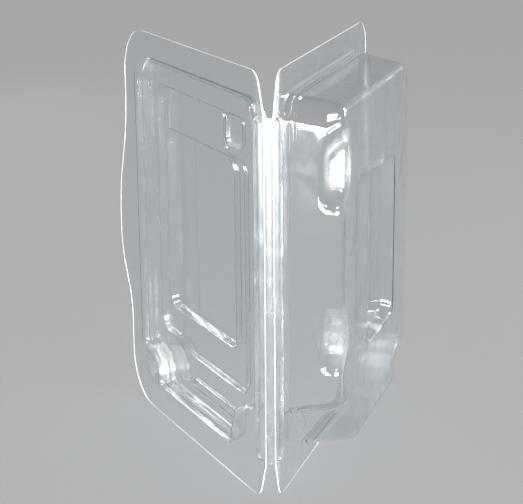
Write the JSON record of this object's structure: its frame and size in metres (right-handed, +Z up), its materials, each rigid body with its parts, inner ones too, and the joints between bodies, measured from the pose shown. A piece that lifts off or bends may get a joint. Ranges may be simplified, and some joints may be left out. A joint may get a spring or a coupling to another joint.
{
  "type": "clamshell pack",
  "caption": "Clear thermoformed clamshell pack: a deep tray and a lid with a stepped plug, joined by a narrow hinge strip with a crease on each side, standing open on its end.",
  "frame": {"origin": "middle of the box that the open pack fills, on the surface it stands on", "axes": "+Z up along the hinge, +Y from the hinge towards the open side, +X towards the tray"},
  "size_m": [0.1394, 0.15, 0.19],
  "materials": {
    "tray_sheet": "clear glossy sheet",
    "lid_sheet": "clear glossy sheet",
    "hinge_sheet": "clear glossy sheet"
  },
  "bodies": {
    "tray": {"tray": "tray_sheet"},
    "hinge_strip": {"hinge_strip": "hinge_sheet"},
    "lid": {"lid": "lid_sheet"}
  },
  "joints": [
    {"name": "tray_crease", "type": "hinge", "parent": "tray", "child": "hinge_strip", "pos_m": [-0.00435, -0.07438, 0], "axis": [0, 0, 1], "range_deg": [-22.9, 67.6], "stiffness_Nm_per_rad": 0.015},
    {"name": "lid_crease", "type": "hinge", "parent": "hinge_strip", "child": "lid", "pos_m": [-0.00795, -0.07438, 0], "axis": [0, 0, 1], "range_deg": [-22.9, 67.6], "stiffness_Nm_per_rad": 0.015}
  ],
  "couplings": [
    {"joint": "lid_crease", "follows": "tray_crease", "ratio": 1}
  ]
}
